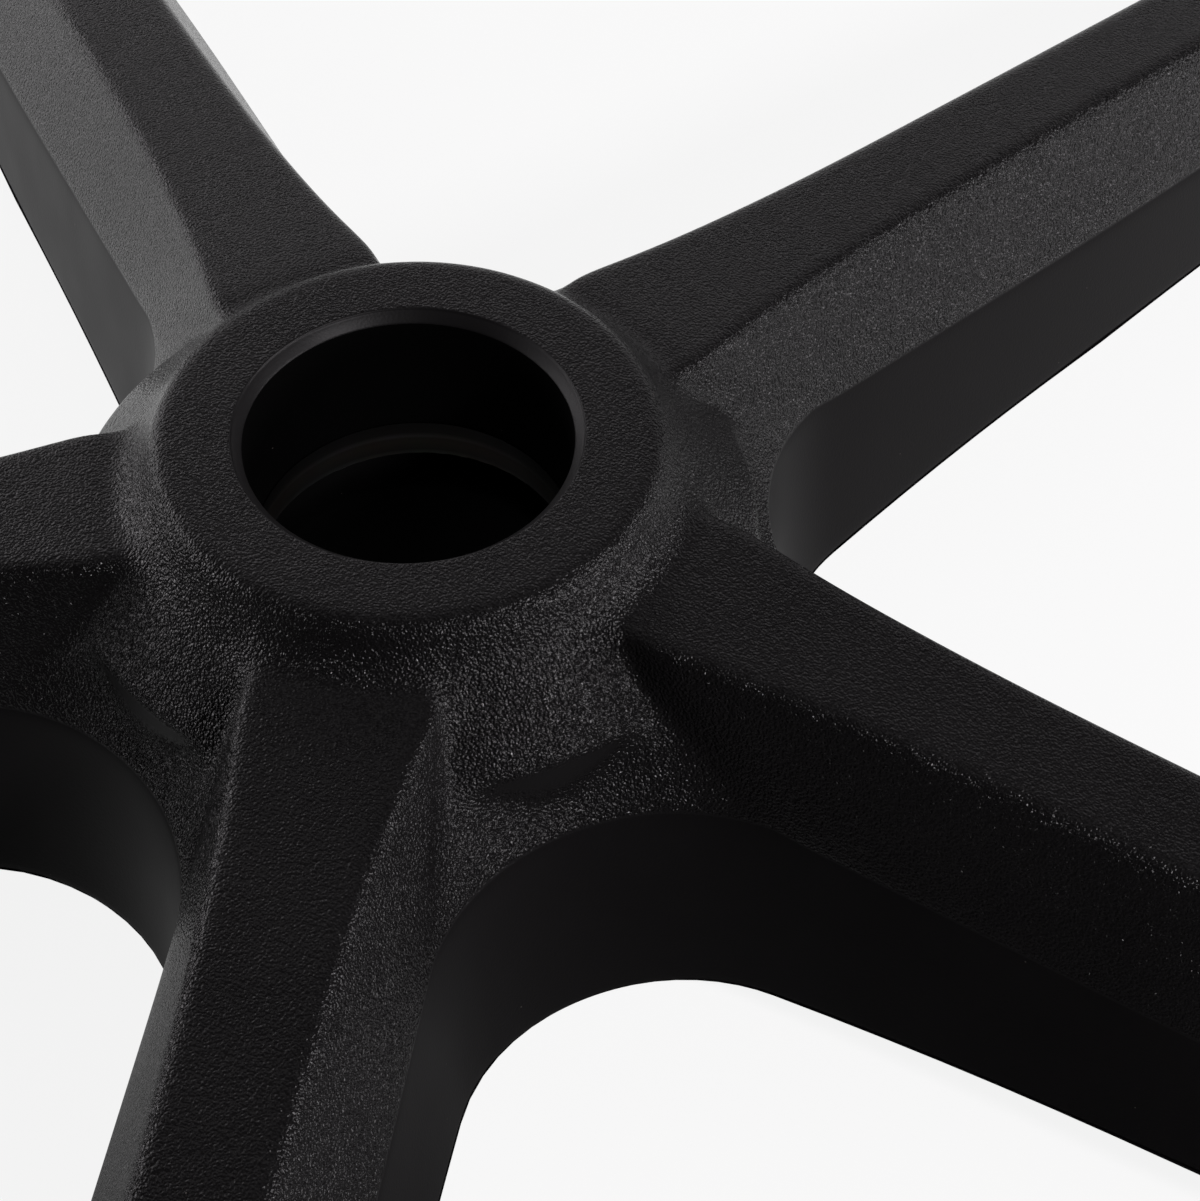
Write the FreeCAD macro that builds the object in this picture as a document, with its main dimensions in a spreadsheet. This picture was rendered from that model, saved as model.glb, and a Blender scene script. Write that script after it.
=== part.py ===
# Five star base of an office chair, moulded in one piece in glass-filled nylon.
#
# Millimetres, +Z up. The origin is on the hub's axis, in the plane that the hub's
# sleeve and the five caster bosses stand on. The first arm points along +X.

import FreeCAD, Part
import os
import math
import Sketcher

ARM_COUNT = 5
ARM_STEP = 360.0 / ARM_COUNT
HALF_STEP = ARM_STEP / 2
CELL_COUNT = 5

document = FreeCAD.newDocument("five_star_base")
sheet = document.addObject("Spreadsheet::Sheet", "sizes")

# Driving dimensions in millimetres and degrees, each written once.
DIMENSIONS = (
    # hub, from the collar down to the lip of the bell
    ("hub_height", 76.0, "stand plane to the collar's flat face"),
    ("collar_radius", 37.6, "outside of the collar"),
    ("collar_round", 3.0, "rounding of the collar's outer edge"),
    ("flare_drop", 4.9, "collar face down to where the bell starts"),
    ("flare_round", 5.0, "hollow between the collar and the bell"),
    ("lip_radius", 53.8, "outside of the bell's lip"),
    ("lip_drop", 18.6, "collar face down to the lip"),
    ("lip_round", 2.6, "rounding of the lip"),
    # bore for the gas lift
    ("bore_radius", 25.2, "upper run of the bore"),
    ("bore_chamfer", 1.5, "width of the chamfer at the mouth"),
    ("bore_chamfer_drop", 1.9, "depth of the chamfer at the mouth"),
    ("ring_drop", 24.0, "collar face down to the insert ring"),
    ("ring_height", 7.0, "height of the insert ring"),
    ("ring_wall", 2.4, "wall of the insert ring"),
    ("ring_step", 0.2, "how far the ring stands proud of the bore"),
    ("seat_taper", 1.0, "half angle of the tapered seat below the ring"),
    ("seat_land", 12.0, "straight run at the foot of the bore"),
    # outline of the star in the stand plane
    ("side_half_width", 23.6, "arm's half width in the stand plane"),
    ("corner_radius", 32.0, "rounding between two arms"),
    ("straight_reach", 150.0, "hub axis to the end of the straight side"),
    ("socket_reach", 300.0, "hub axis to the caster socket"),
    ("tip_radius", 19.6, "rounding of the arm's end"),
    ("side_draft", 6.3, "lean of the side walls"),
    # rounded end of an arm, where the sloping faces run round the caster socket
    ("nose_half", 7.8, "radius of the flat top's end"),
    ("nose_height", 39.3, "height at the flat top's end"),
    ("nose_foot_half", 17.0, "radius at the foot of the slope"),
    ("nose_foot_height", 25.1, "height at the foot of the slope"),
    # web between the arms, under the lip
    ("web_edge_height", 44.8, "stand plane to the web's outer edge"),
    ("web_lean", 43.0, "lean of the web from upright"),
    ("web_reach", 72.0, "hub axis to the end of the web"),
    # underside
    ("side_wall", 3.2, "thickness of the side walls"),
    ("skin_drop", 3.4, "roof thickness, measured down"),
    ("skin_inset", 2.8, "roof thickness, measured sideways"),
    ("web_skin", 3.4, "thickness of the web"),
    ("hub_ceiling", 40.0, "stand plane to the ceiling beside the sleeve"),
    ("sleeve_wall", 8.0, "wall of the sleeve round the bore"),
    ("sole_gap", 2.0, "between the sleeve's foot and the arch"),
    ("arch_reach", 135.0, "hub axis to the highest point of the arm's foot"),
    ("arch_height", 11.0, "stand plane to the highest point of the arm's foot"),
    ("arch_inner_radius", 521.0, "curve of the foot towards the hub"),
    ("arch_outer_radius", 2005.0, "curve of the foot towards the tip"),
    ("rib_thickness", 2.4, "thickness of the ribs"),
    ("rib_height", 14.0, "stand plane to the ribs' lower edges"),
    ("rib_start", 74.0, "hub axis to the first crossing cell"),
    ("rib_cell", 42.0, "length of one crossing cell"),
    # caster sockets
    ("socket_radius", 5.5, "bore of a caster socket"),
    ("socket_depth", 24.0, "depth of a caster socket"),
    ("boss_wall", 4.6, "wall round a caster socket"),
    # roundings
    ("ridge_round", 3.0, "rounding along the top of an arm"),
    # construction
    ("roof_brim", 7.0, "how far the arms' sloping faces run past the walls"),
)

# Arm sections: distance from the axis, half width and height of the flat top,
# half width and height of the foot of the sloping face beside it.
SECTIONS = (
    ("root", 30.0, 13.6, 69.8, 18.4, 46.0),
    ("shoulder", 60.0, 11.2, 66.7, 18.5, 45.0),
    ("forearm", 95.0, 9.2, 63.0, 18.9, 42.0),
    ("middle", 150.0, 8.6, 57.6, 19.3, 37.4),
    ("outer", 210.0, 8.4, 51.0, 18.6, 32.4),
    ("wrist", 270.0, 8.0, 43.6, 17.6, 27.6),
    ("tip", 330.0, 7.6, 35.0, 16.4, 22.6),
)
SECTION_SIZES = ("reach", "top_half", "top_height", "foot_half", "foot_height")

values = {}


def add_size(row, name, number):
    sheet.set("A%d" % row, name)
    sheet.set("B%d" % row, str(number))
    sheet.setAlias("B%d" % row, name)
    values[name] = number


row = 1
for name, number, meaning in DIMENSIONS:
    add_size(row, name, number)
    sheet.set("C%d" % row, meaning)
    row += 1
for section in SECTIONS:
    for size_name, number in zip(SECTION_SIZES, section[1:]):
        add_size(row, section[0] + "_" + size_name, number)
        row += 1
document.recompute()


def size(name):
    return values[name]


def origin_plane(body, role):
    for feature in body.Origin.OriginFeatures:
        if feature.Role == role:
            return feature
    raise ValueError("no plane " + role)


def new_body(name):
    body = document.addObject("PartDesign::Body", name)
    body.AllowCompound = True
    return body


def new_sketch(body, name, plane, offset=None):
    sketch = body.newObject("Sketcher::SketchObject", name)
    sketch.AttachmentSupport = [(origin_plane(body, plane), "")]
    sketch.MapMode = "FlatFace"
    if offset is not None:
        sketch.setExpression("AttachmentOffset.Base.z", offset)
    return sketch


def pin_point(sketch, index, end, across, up):
    """Hold one end of an edge at a place given by two expressions."""
    for kind, expression in (("DistanceX", across), ("DistanceY", up)):
        point = sketch.getPoint(index, end)
        value = point.x if kind == "DistanceX" else point.y
        place = sketch.addConstraint(
            Sketcher.Constraint(kind, -1, 1, index, end, value))
        sketch.setExpression("Constraints[%d]" % place, expression)


def draw_outline(sketch, corners):
    """Closed outline of straight edges through corners given as expressions."""
    points = []
    for across, up in corners:
        points.append(FreeCAD.Vector(evaluate(across), evaluate(up), 0))
    count = len(points)
    for index in range(count):
        line = Part.LineSegment(points[index], points[(index + 1) % count])
        sketch.addGeometry(line, False)
    for index in range(count):
        sketch.addConstraint(
            Sketcher.Constraint("Coincident", index, 2, (index + 1) % count, 1))
    for index, (across, up) in enumerate(corners):
        pin_point(sketch, index, 1, across, up)


def evaluate(expression):
    """Value of an expression in the sheet's names."""
    return float(sheet.evalExpression(expression.replace("sizes.", "")))


def add_pad(body, sketch, length, taper=None, name="Pad"):
    pad = body.newObject("PartDesign::Pad", name)
    pad.Profile = sketch
    pad.setExpression("Length", length)
    if taper is not None:
        pad.setExpression("TaperAngle", taper)
    document.recompute()
    return pad


def add_turn(body, sketch, name):
    """Turn a half section drawn on the XZ plane about the hub's axis."""
    turn = body.newObject("PartDesign::Revolution", name)
    turn.Profile = sketch
    turn.ReferenceAxis = (sketch, ["V_Axis"])
    turn.Angle = 360
    document.recompute()
    return turn


def add_pattern(body, features, name="Pattern"):
    pattern = body.newObject("PartDesign::PolarPattern", name)
    pattern.Originals = features
    pattern.Axis = (origin_plane(body, "Z_Axis"), [""])
    pattern.Angle = 360
    pattern.Occurrences = ARM_COUNT
    body.Tip = pattern
    document.recompute()
    return pattern


def draw_star(sketch, inset):
    """Outline of the whole star, set in from the outside by a named wall.

    Each arm has straight sides that turn in slightly beyond straight_reach,
    and a round end about the caster socket. Neighbours meet in a round corner.
    """
    half = evaluate("side_half_width - " + inset)
    corner = evaluate("corner_radius + " + inset)
    tip = evaluate("tip_radius - " + inset)
    straight = size("straight_reach")
    socket = size("socket_reach")
    gap = (half + corner) / math.sin(math.radians(HALF_STEP))
    gap_along = gap * math.cos(math.radians(HALF_STEP))
    # The outer run of the side touches the round end.
    run = socket - straight
    lean = math.acos(tip / math.hypot(run, half)) - math.atan2(run, half)
    tip_x = socket + tip * math.sin(lean)
    tip_y = tip * math.cos(lean)

    def at(angle, x, y):
        turn = math.radians(angle)
        return FreeCAD.Vector(
            x * math.cos(turn) - y * math.sin(turn),
            x * math.sin(turn) + y * math.cos(turn), 0)

    def line(angle, first, last):
        return Part.LineSegment(at(angle, *first), at(angle, *last))

    for arm in range(ARM_COUNT):
        angle = arm * ARM_STEP
        edges = (
            line(angle, (gap_along, -half), (straight, -half)),
            line(angle, (straight, -half), (tip_x, -tip_y)),
            Part.Arc(at(angle, tip_x, -tip_y), at(angle, socket + tip, 0), at(angle, tip_x, tip_y)),
            line(angle, (tip_x, tip_y), (straight, half)),
            line(angle, (straight, half), (gap_along, half)),
            Part.Arc(
                at(angle, gap_along, half),
                at(angle + HALF_STEP, gap - corner, 0),
                at(angle + ARM_STEP, gap_along, -half)),
        )
        for edge in edges:
            sketch.addGeometry(edge, False)
    count = ARM_COUNT * 6
    for index in range(count):
        other = (index + 1) % count
        here, there = nearest_ends(sketch, index, 0, other, 0)
        kind = "Coincident" if index % 6 in (0, 3) else "Tangent"
        sketch.addConstraint(Sketcher.Constraint(kind, index, here, other, there))
    for arm in range(ARM_COUNT):
        tip_edge = arm * 6 + 2
        corner_edge = arm * 6 + 5
        tip_size = sketch.addConstraint(Sketcher.Constraint("Radius", tip_edge, tip))
        sketch.setExpression(
            "Constraints[%d]" % tip_size, "sizes.tip_radius - " + inset)
        corner_size = sketch.addConstraint(
            Sketcher.Constraint("Radius", corner_edge, corner))
        sketch.setExpression(
            "Constraints[%d]" % corner_size, "sizes.corner_radius + " + inset)


def make_walls(name, inset):
    """Drafted column over the star's outline."""
    body = new_body(name)
    sketch = new_sketch(body, name + "_outline", "XY_Plane")
    draw_star(sketch, inset)
    add_pad(body, sketch, "sizes.hub_height", "-sizes.side_draft", name + "_column")
    return body


def draw_arm_section(sketch, section, drop, inset, rounded):
    """Section of an arm: flat top, two ridges, sloping faces and a stem.

    The sloping faces run past the walls by roof_brim, so that the walls trim them.
    Outside, the ridges are rounded.
    """
    stem = "sizes." + section + "_"
    top_half = "(%stop_half - %s)" % (stem, inset)
    top_height = "(%stop_height - %s)" % (stem, drop)
    foot_half = "(%sfoot_half - %s)" % (stem, inset)
    foot_height = "(%sfoot_height - %s)" % (stem, drop)
    slope = "((%s - %s) / (%s - %s))" % (top_height, foot_height, foot_half, top_half)
    brim_half = "(%s + sizes.roof_brim)" % foot_half
    brim_height = "(%s - sizes.roof_brim * %s)" % (foot_height, slope)
    bottom = "(-sizes.roof_brim)"
    if not rounded:
        draw_outline(sketch, (
            ("-" + top_half, top_height), (top_half, top_height),
            (brim_half, brim_height), (brim_half, bottom),
            ("-" + brim_half, bottom), ("-" + brim_half, brim_height)))
        return
    # The ridge's rounding starts this far in from the corner of top and slope.
    setback = "(sizes.ridge_round * tan(atan(%s) / 2))" % slope
    centre_half = "(%s - %s)" % (top_half, setback)
    centre_height = "(%s - sizes.ridge_round)" % top_height

    number = {}
    for name, expression in (
            ("top_height", top_height), ("brim_half", brim_half),
            ("brim_height", brim_height), ("bottom", bottom), ("slope", slope),
            ("centre_half", centre_half), ("centre_height", centre_height)):
        number[name] = evaluate(expression)
    radius = size("ridge_round")
    tilt = math.atan(number["slope"])
    touch = radius * math.sin(tilt)
    touch_height = number["centre_height"] + radius * math.cos(tilt)
    half_tilt = tilt / 2

    def point(side, across, up):
        return FreeCAD.Vector(side * across, up, 0)

    def ridge(side):
        return Part.Arc(
            point(side, number["centre_half"], number["top_height"]),
            point(side, number["centre_half"] + radius * math.sin(half_tilt),
                  number["centre_height"] + radius * math.cos(half_tilt)),
            point(side, number["centre_half"] + touch, touch_height))

    def slope_line(side):
        return Part.LineSegment(
            point(side, number["centre_half"] + touch, touch_height),
            point(side, number["brim_half"], number["brim_height"]))

    def stem_line(side):
        return Part.LineSegment(
            point(side, number["brim_half"], number["brim_height"]),
            point(side, number["brim_half"], number["bottom"]))

    top = Part.LineSegment(
        point(-1, number["centre_half"], number["top_height"]),
        point(1, number["centre_half"], number["top_height"]))
    foot = Part.LineSegment(
        point(-1, number["brim_half"], number["bottom"]),
        point(1, number["brim_half"], number["bottom"]))
    edges = (top, ridge(1), slope_line(1), stem_line(1), foot,
             stem_line(-1), slope_line(-1), ridge(-1))
    for edge in edges:
        sketch.addGeometry(edge, False)
    for first, first_end, second, second_end, kind in (
            (0, 2, 1, 0, "Tangent"), (1, 0, 2, 1, "Tangent"),
            (2, 2, 3, 1, "Coincident"), (3, 2, 4, 2, "Coincident"),
            (4, 1, 5, 2, "Coincident"), (5, 1, 6, 2, "Coincident"),
            (6, 1, 7, 0, "Tangent"), (7, 0, 0, 1, "Tangent")):
        ends = nearest_ends(sketch, first, first_end, second, second_end)
        sketch.addConstraint(Sketcher.Constraint(kind, first, ends[0], second, ends[1]))
    for arc in (1, 7):
        place = sketch.addConstraint(Sketcher.Constraint("Radius", arc, radius))
        sketch.setExpression("Constraints[%d]" % place, "sizes.ridge_round")
    for side, arc, slope_edge, stem_edge in ((1, 1, 2, 3), (-1, 7, 6, 5)):
        sign = "" if side > 0 else "-"
        pin_point(sketch, arc, 3, sign + centre_half, centre_height)
        pin_point(sketch, slope_edge, 2, sign + brim_half, brim_height)
        pin_point(sketch, stem_edge, 2, sign + brim_half, bottom)


def nearest_ends(sketch, first, first_end, second, second_end):
    """The ends by which two edges meet; 0 leaves an end to be found."""
    best = None
    for here in (first_end,) if first_end else (1, 2):
        for there in (second_end,) if second_end else (1, 2):
            gap = sketch.getPoint(first, here).distanceToPoint(
                sketch.getPoint(second, there))
            if best is None or gap < best[0]:
                best = (gap, here, there)
    return best[1:]


def make_arm_roofs(name, sections, drop="0", inset="0", rounded=True):
    """Five arms with a flat top and sloping faces, lofted through the sections."""
    body = new_body(name)
    sketches = []
    for section in sections:
        sketch = new_sketch(
            body, name + "_" + section, "YZ_Plane", "sizes." + section + "_reach")
        draw_arm_section(sketch, section, drop, inset, rounded)
        sketches.append(sketch)
    document.recompute()
    loft = body.newObject("PartDesign::AdditiveLoft", name + "_arm")
    loft.Profile = sketches[0]
    loft.Sections = sketches[1:]
    loft.Ruled = not rounded
    body.Tip = loft
    document.recompute()
    add_pattern(body, [loft], name + "_arms")
    return body


def make_nose_space(name, drop, inset):
    """What the slope round an arm's end leaves out: the room above a half cone."""
    body = new_body(name)
    sketch = new_sketch(body, name + "_section", "XZ_Plane")
    sketch.setExpression("AttachmentOffset.Base.x", "sizes.socket_reach")
    top_half = "(sizes.nose_half - %s)" % inset
    top_height = "(sizes.nose_height - %s)" % drop
    slope = "((sizes.nose_height - sizes.nose_foot_height) / (sizes.nose_foot_half - sizes.nose_half))"
    brim_half = "(sizes.nose_foot_half + sizes.roof_brim)"
    brim_height = "(%s - (%s - %s) * %s)" % (top_height, brim_half, top_half, slope)
    draw_outline(sketch, (
        (top_half, top_height), (brim_half, brim_height),
        (brim_half, "sizes.hub_height"), (top_half, "sizes.hub_height")))
    turn = add_turn(body, sketch, name + "_turn")
    turn.Midplane = True
    turn.Angle = 180
    document.recompute()
    add_pattern(body, [turn], name + "_ends")
    return body


def make_roof_hub(name):
    """Collar, hollow flare and conical bell of the hub, turned in one section."""
    body = new_body(name)
    sketch = new_sketch(body, name + "_section", "XZ_Plane")
    draw_outline(sketch, (
        ("0", "-sizes.roof_brim"),
        ("sizes.lip_radius", "-sizes.roof_brim"),
        ("sizes.lip_radius", "sizes.hub_height - sizes.lip_drop"),
        ("sizes.collar_radius", "sizes.hub_height - sizes.flare_drop"),
        ("sizes.collar_radius", "sizes.hub_height"),
        ("0", "sizes.hub_height"),
    ))
    turn = add_turn(body, sketch, name + "_turn")
    tip = turn
    rounds = (
        ("lip", "lip_round", size("lip_radius"), size("hub_height") - size("lip_drop")),
        ("flare", "flare_round", size("collar_radius"),
         size("hub_height") - size("flare_drop")),
        ("collar", "collar_round", size("collar_radius"), size("hub_height")),
    )
    for label, alias, radius, height in rounds:
        fillet = body.newObject("PartDesign::Fillet", name + "_" + label)
        fillet.Base = (tip, [find_ring(tip.Shape, radius, height)])
        fillet.setExpression("Radius", "sizes." + alias)
        body.Tip = fillet
        document.recompute()
        tip = fillet
    return body


def find_ring(shape, radius, height):
    """Name of the circular edge about the hub's axis at a radius and height."""
    for number, edge in enumerate(shape.Edges, 1):
        curve = edge.Curve
        if not isinstance(curve, Part.Circle):
            continue
        if abs(curve.Radius - radius) < 0.01 and abs(curve.Center.z - height) < 0.01:
            return "Edge%d" % number
    raise ValueError("no ring edge at radius %g, height %g" % (radius, height))


def make_web(name, height, wall):
    """Drum under the bell, hollowed between the arms by leaning round corners."""
    body = new_body(name)
    sketch = new_sketch(body, name + "_disc", "XY_Plane")
    circle = Part.Circle(FreeCAD.Vector(0, 0, 0), FreeCAD.Vector(0, 0, 1), size("web_reach"))
    sketch.addGeometry(circle, False)
    sketch.addConstraint(Sketcher.Constraint("Coincident", 0, 3, -1, 1))
    place = sketch.addConstraint(Sketcher.Constraint("Radius", 0, size("web_reach")))
    sketch.setExpression("Constraints[%d]" % place, "sizes.web_reach")
    drum = add_pad(body, sketch, height, name=name + "_drum")
    # The corner's axis stands where the round corner of the walls has its centre.
    # The lean starts low enough in the drum for the walls to trim it.
    gap = "((sizes.side_half_width + sizes.corner_radius) / sin(%g deg))" % HALF_STEP
    rise = "tan(sizes.web_lean * 1 deg)"
    edge = ("(sizes.corner_radius + %s + sizes.web_edge_height"
            " * tan(sizes.side_draft * 1 deg))") % wall
    low_height = "(sizes.web_edge_height - %s / 2 / %s)" % (edge, rise)
    cone = body.newObject("PartDesign::SubtractiveCone", name + "_corner")
    cone.setExpression("Radius1", edge + " / 2")
    cone.setExpression("Radius2", "%s + (%s - sizes.web_edge_height) * %s" % (edge, height, rise))
    cone.setExpression("Height", "%s - %s" % (height, low_height))
    cone.AttachmentSupport = [(origin_plane(body, "XY_Plane"), "")]
    cone.MapMode = "FlatFace"
    cone.setExpression("AttachmentOffset.Base.x", "%s * cos(%g deg)" % (gap, HALF_STEP))
    cone.setExpression("AttachmentOffset.Base.y", "%s * sin(%g deg)" % (gap, HALF_STEP))
    cone.setExpression("AttachmentOffset.Base.z", low_height)
    body.Tip = cone
    document.recompute()
    add_pattern(body, [cone], name + "_corners")
    return body


def make_bore(name):
    """Space inside the hub: chamfer, upper run, ring seat, taper and land."""
    body = new_body(name)
    sketch = new_sketch(body, name + "_section", "XZ_Plane")
    ring_top = "(sizes.hub_height - sizes.ring_drop)"
    ring_foot = "(%s - sizes.ring_height)" % ring_top
    throat = "(sizes.bore_radius - sizes.ring_step)"
    land = "(%s - (%s - sizes.seat_land) * tan(sizes.seat_taper * 1 deg))" % (throat, ring_foot)
    mouth = "(sizes.bore_radius + sizes.bore_chamfer)"
    draw_outline(sketch, (
        ("0", "-sizes.roof_brim"),
        (land, "-sizes.roof_brim"),
        (land, "sizes.seat_land"),
        (throat, ring_foot),
        ("%s + sizes.ring_wall" % throat, ring_foot),
        ("%s + sizes.ring_wall" % throat, ring_top),
        ("sizes.bore_radius", ring_top),
        ("sizes.bore_radius", "sizes.hub_height - sizes.bore_chamfer_drop"),
        (mouth, "sizes.hub_height"),
        (mouth, "sizes.hub_height + sizes.roof_brim"),
        ("0", "sizes.hub_height + sizes.roof_brim"),
    ))
    add_turn(body, sketch, name + "_turn")
    return body


def make_arch(name):
    """Space under the star: its foot rises in a long arch from hub to tip."""
    body = new_body(name)
    sketch = new_sketch(body, name + "_section", "XZ_Plane")
    inner = evaluate("bore_radius + sleeve_wall + sole_gap")
    outer = evaluate("socket_reach + tip_radius + roof_brim")
    crown = size("arch_reach")
    height = size("arch_height")

    def foot(reach):
        radius = size("arch_inner_radius" if reach < crown else "arch_outer_radius")
        return height - radius + math.sqrt(radius ** 2 - (reach - crown) ** 2)

    def place(reach, up):
        return FreeCAD.Vector(reach, up, 0)

    low = -size("roof_brim")
    inner_middle = (inner + crown) / 2
    outer_middle = (crown + outer) / 2
    edges = (
        Part.LineSegment(place(inner, low), place(outer, low)),
        Part.LineSegment(place(outer, low), place(outer, foot(outer))),
        Part.Arc(place(outer, foot(outer)), place(outer_middle, foot(outer_middle)),
                 place(crown, height)),
        Part.Arc(place(crown, height), place(inner_middle, foot(inner_middle)),
                 place(inner, foot(inner))),
        Part.LineSegment(place(inner, foot(inner)), place(inner, low)),
    )
    for edge in edges:
        sketch.addGeometry(edge, False)
    for index in range(len(edges)):
        other = (index + 1) % len(edges)
        here, there = nearest_ends(sketch, index, 0, other, 0)
        kind = "Tangent" if index == 2 else "Coincident"
        sketch.addConstraint(Sketcher.Constraint(kind, index, here, other, there))
    for index, alias in ((2, "arch_outer_radius"), (3, "arch_inner_radius")):
        spot = sketch.addConstraint(Sketcher.Constraint("Radius", index, size(alias)))
        sketch.setExpression("Constraints[%d]" % spot, "sizes." + alias)
    pin_point(sketch, 0, 1, "sizes.bore_radius + sizes.sleeve_wall + sizes.sole_gap",
              "-sizes.roof_brim")
    add_turn(body, sketch, name + "_turn")
    return body


def strip(start, end, angle):
    """Corners of a rib that runs outwards from the hub at an angle in degrees."""
    corners = []
    for reach, side in ((start, -1), (end, -1), (end, 1), (start, 1)):
        half = "%d * sizes.rib_thickness / 2" % side
        corners.append((
            "(%s) * cos(%g deg) - (%s) * sin(%g deg)" % (reach, angle, half, angle),
            "(%s) * sin(%g deg) + (%s) * cos(%g deg)" % (reach, angle, half, angle)))
    return corners


def crossing_rib():
    """Corners of the rib that crosses the first cell from side to side."""
    middle = "(sizes.rib_start + sizes.rib_cell / 2)"
    width = "(2 * sizes.side_half_width)"
    length = "sqrt(sizes.rib_cell ^ 2 + %s ^ 2)" % width
    corners = []
    for along, across in ((-1, -1), (1, -1), (1, 1), (-1, 1)):
        x = "%s + %d * sizes.rib_cell / 2 - %d * sizes.rib_thickness / 2 * %s / %s" % (
            middle, along, across, width, length)
        y = "%d * %s / 2 + %d * sizes.rib_thickness / 2 * sizes.rib_cell / %s" % (
            along, width, across, length)
        corners.append((x, y))
    return corners


def make_ribs(name):
    """Crossing ribs along each arm, and ribs from the sleeve to arms and corners."""
    body = new_body(name)
    height = "sizes.hub_height - sizes.rib_height"
    sleeve = "sizes.bore_radius + sizes.sleeve_wall / 2"
    corner = "(sizes.side_half_width + sizes.corner_radius) / sin(%g deg) - sizes.corner_radius" % HALF_STEP
    spokes = []
    for label, end, angle in (
            ("arm_spoke", "sizes.rib_start", 0), ("corner_spoke", corner, HALF_STEP)):
        sketch = new_sketch(body, name + "_" + label, "XY_Plane", "sizes.rib_height")
        draw_outline(sketch, strip(sleeve, end, angle))
        spokes.append(add_pad(body, sketch, height, name=name + "_" + label + "_plate"))
    add_pattern(body, spokes, name + "_spokes")
    sketch = new_sketch(body, name + "_crossing", "XY_Plane", "sizes.rib_height")
    draw_outline(sketch, crossing_rib())
    plate = add_pad(body, sketch, height, name=name + "_crossing_plate")
    cells = body.newObject("PartDesign::MultiTransform", name + "_cells")
    cells.Originals = [plate]
    row = body.newObject("PartDesign::LinearPattern", name + "_row")
    row.Direction = (origin_plane(body, "X_Axis"), [""])
    row.setExpression("Length", "sizes.rib_cell * %d" % (CELL_COUNT - 1))
    row.Occurrences = CELL_COUNT
    other_hand = body.newObject("PartDesign::Mirrored", name + "_other_hand")
    other_hand.MirrorPlane = (origin_plane(body, "XZ_Plane"), [""])
    arms = body.newObject("PartDesign::PolarPattern", name + "_arms")
    arms.Axis = (origin_plane(body, "Z_Axis"), [""])
    arms.Angle = 360
    arms.Occurrences = ARM_COUNT
    cells.Transformations = [row, other_hand, arms]
    body.Tip = cells
    document.recompute()
    return body


def make_posts(name, radius, height, socket_reach=None):
    """Upright round posts from the stand plane, one or one to an arm."""
    body = new_body(name)
    sketch = new_sketch(body, name + "_round", "XY_Plane")
    centre_x = size("socket_reach") if socket_reach else 0
    circle = Part.Circle(FreeCAD.Vector(centre_x, 0, 0), FreeCAD.Vector(0, 0, 1), evaluate(radius))
    sketch.addGeometry(circle, False)
    place = sketch.addConstraint(Sketcher.Constraint("Radius", 0, evaluate(radius)))
    sketch.setExpression("Constraints[%d]" % place, radius)
    if socket_reach:
        pin_point(sketch, 0, 3, socket_reach, "0")
    else:
        sketch.addConstraint(Sketcher.Constraint("Coincident", 0, 3, -1, 1))
    post = add_pad(body, sketch, height, name=name + "_post")
    if socket_reach:
        add_pattern(body, [post], name + "_posts")
    return body


def join(kind, name, *parts):
    result = document.addObject("Part::" + kind, name)
    if kind == "Cut":
        result.Base, result.Tool = parts
    else:
        result.Shapes = list(parts)
    document.recompute()
    return result


# Outside: walls trimmed by the roof of arms, bell and web.
outer_walls = make_walls("outer_walls", "0")
outer_roof = join(
    "MultiFuse", "outer_roof",
    make_arm_roofs("outer_arm", [section[0] for section in SECTIONS]),
    make_roof_hub("bell"),
    make_web("web", "sizes.hub_height - sizes.lip_drop", "0"))
outer_star = join("MultiCommon", "outer_star", outer_walls, outer_roof)
outer_form = join("Cut", "outer_form", outer_star, make_nose_space("nose_space", "0", "0"))

# Inside: the same forms, set in by the wall, less what stands in the hollow.
inner_walls = make_walls("inner_walls", "sizes.side_wall")
inner_roof = join(
    "MultiFuse", "inner_roof",
    make_arm_roofs("inner_arm", ("root", "forearm", "outer", "tip"),
                   "sizes.skin_drop", "sizes.skin_inset", rounded=False),
    make_web("inner_web", "sizes.hub_ceiling", "sizes.web_skin"))
inner_star = join("MultiCommon", "inner_star", inner_walls, inner_roof)
inner_nose_space = make_nose_space("inner_nose_space", "sizes.skin_drop", "sizes.skin_inset")
inner_form = join("Cut", "inner_form", inner_star, inner_nose_space)
standing = join(
    "MultiFuse", "standing",
    make_ribs("ribs"),
    make_posts("sleeve", "sizes.bore_radius + sizes.sleeve_wall", "sizes.hub_height"),
    make_posts("bosses", "sizes.socket_radius + sizes.boss_wall", "sizes.hub_height",
               "sizes.socket_reach"))
hollow = join("Cut", "hollow", inner_form, standing)

# Foot: the arch is cut away round the bosses, which reach the stand plane.
boss_feet = make_posts(
    "boss_feet", "sizes.socket_radius + sizes.boss_wall", "sizes.hub_height",
    "sizes.socket_reach")
arch = join("Cut", "arch", make_arch("arch_space"), boss_feet)
sockets = make_posts("sockets", "sizes.socket_radius", "sizes.socket_depth", "sizes.socket_reach")
bore = make_bore("bore")
shell = join("Cut", "shell", outer_form, hollow)
arched_shell = join("Cut", "arched_shell", shell, arch)
socket_shell = join("Cut", "socket_shell", arched_shell, sockets)
star_base = join("Cut", "star_base", socket_shell, bore)


def make_ring(name):
    """Steel ring moulded into the bore, a little proud of its wall."""
    body = new_body(name)
    sketch = new_sketch(body, name + "_section", "XZ_Plane")
    inside = "sizes.bore_radius - sizes.ring_step"
    outside = inside + " + sizes.ring_wall"
    top = "sizes.hub_height - sizes.ring_drop"
    foot = top + " - sizes.ring_height"
    draw_outline(sketch, ((inside, foot), (outside, foot), (outside, top), (inside, top)))
    add_turn(body, sketch, name + "_turn")
    return body


hub_ring = make_ring("hub_ring")

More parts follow.
